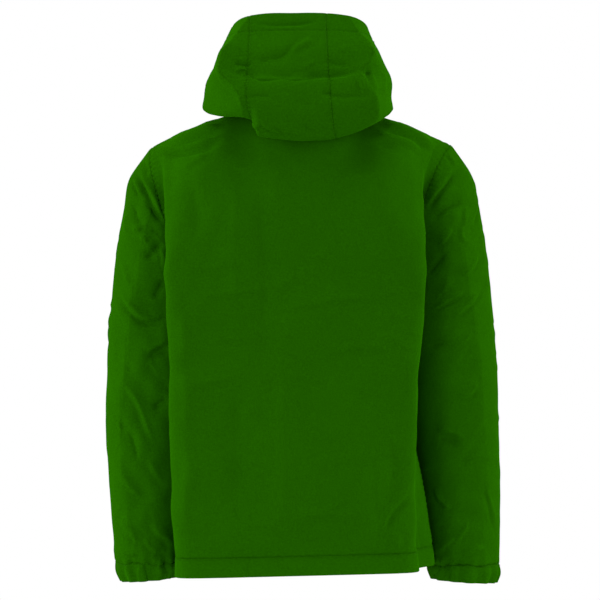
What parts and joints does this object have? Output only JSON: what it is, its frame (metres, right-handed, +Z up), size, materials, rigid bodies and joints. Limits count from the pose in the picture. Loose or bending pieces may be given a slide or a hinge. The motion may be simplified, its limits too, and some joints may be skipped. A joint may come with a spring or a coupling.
{
  "type": "hooded anorak",
  "caption": "Hooded pullover anorak in plain woven cloth, hollow and filled out as worn, with a short neck zip, elastic cuffs and a banded hem.",
  "frame": {"origin": "middle of the neck, level with the shoulders where they meet the neck, where the wearer holds the garment up", "axes": "+Z up, -Y the way the front faces, +X the wearer's left"},
  "size_m": [0.6187, 0.2824, 0.881],
  "materials": {
    "shell_cloth": "dark green plain-woven shell cloth, matt with a faint sheen",
    "zip_tape": "dark green woven tape",
    "zip_metal": "aged, satin"
  },
  "bodies": {
    "garment": {"back_panel": "shell_cloth", "front_panel": "shell_cloth", "hem_band": "shell_cloth", "sleeve_left": "shell_cloth", "sleeve_right": "shell_cloth", "cuff_left": "shell_cloth", "cuff_right": "shell_cloth", "hood_side_left": "shell_cloth", "hood_centre": "shell_cloth", "hood_side_right": "shell_cloth", "zip_tape_left": "zip_tape", "zip_tape_right": "zip_tape", "zip_teeth": "zip_metal", "zip_stop": "zip_metal", "zip_slider": "zip_metal"},
    "pull_tab": {"pull_tab": "zip_metal"}
  },
  "joints": [
    {"name": "pull_tab_swing", "type": "hinge", "parent": "garment", "child": "pull_tab", "pos_m": [0, -0.10334, -0.026], "axis": [-1, 0, 0], "range_deg": [0, 170]}
  ]
}
